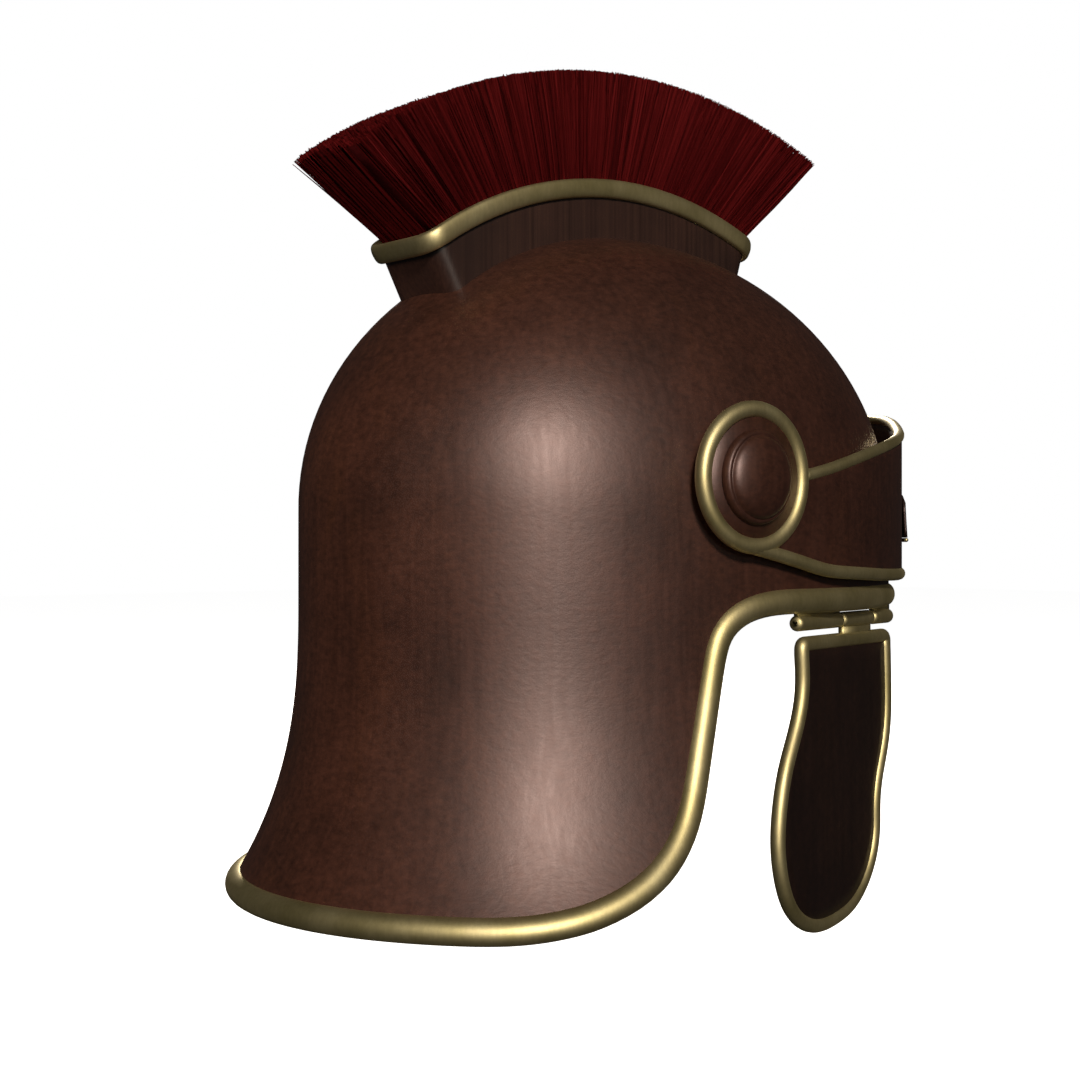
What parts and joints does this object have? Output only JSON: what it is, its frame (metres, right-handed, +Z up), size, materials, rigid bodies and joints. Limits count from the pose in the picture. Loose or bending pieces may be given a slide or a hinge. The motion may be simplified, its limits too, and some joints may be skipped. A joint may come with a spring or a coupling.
{
  "type": "crested legionary helmet",
  "caption": "Bell shaped hardened leather helmet with flared neck, brass edge binding, bristle crest in a wooden box, standing brow guard with temple bosses and hinged cheek guards.",
  "frame": {"origin": "middle of the head opening, level with the lower edge of the brow", "axes": "+Z up to the crown, -Y the way the face looks, -X the wearer's right"},
  "size_m": [0.2246, 0.3188, 0.3351],
  "materials": {
    "shell_leather": "polished dark reddish brown",
    "trim_leather": "polished very dark brown",
    "brass": "polished, slightly aged",
    "crest_wood": "stained dark, semi-gloss",
    "bristle": "dyed dark red bristle",
    "pin_steel": "plain wire"
  },
  "bodies": {
    "helmet": {"shell": "shell_leather", "edge_binding": "brass", "crest_box": "crest_wood", "crest_rim": "brass", "crest_brush": "bristle", "brow_guard": "shell_leather", "brow_trim": "brass", "brow_plaque": "trim_leather", "plaque_wire": "brass", "temple_disc_right": "shell_leather", "temple_disc_left": "shell_leather", "temple_boss_right": "shell_leather", "temple_boss_left": "shell_leather", "hinge_pin_right": "pin_steel", "hinge_pin_left": "pin_steel"},
    "cheek_guard_right": {"cheek_plate_right": "trim_leather", "cheek_binding_right": "brass"},
    "cheek_guard_left": {"cheek_plate_left": "trim_leather", "cheek_binding_left": "brass"}
  },
  "joints": [
    {"name": "cheek_hinge_right", "type": "hinge", "parent": "helmet", "child": "cheek_guard_right", "pos_m": [-0.097, -0.009, -0.008], "axis": [-0.2672, 0.9636, 0], "range_deg": [-20, 80]},
    {"name": "cheek_hinge_left", "type": "hinge", "parent": "helmet", "child": "cheek_guard_left", "pos_m": [0.097, -0.009, -0.008], "axis": [-0.2672, -0.9636, 0], "range_deg": [-20, 80]}
  ]
}
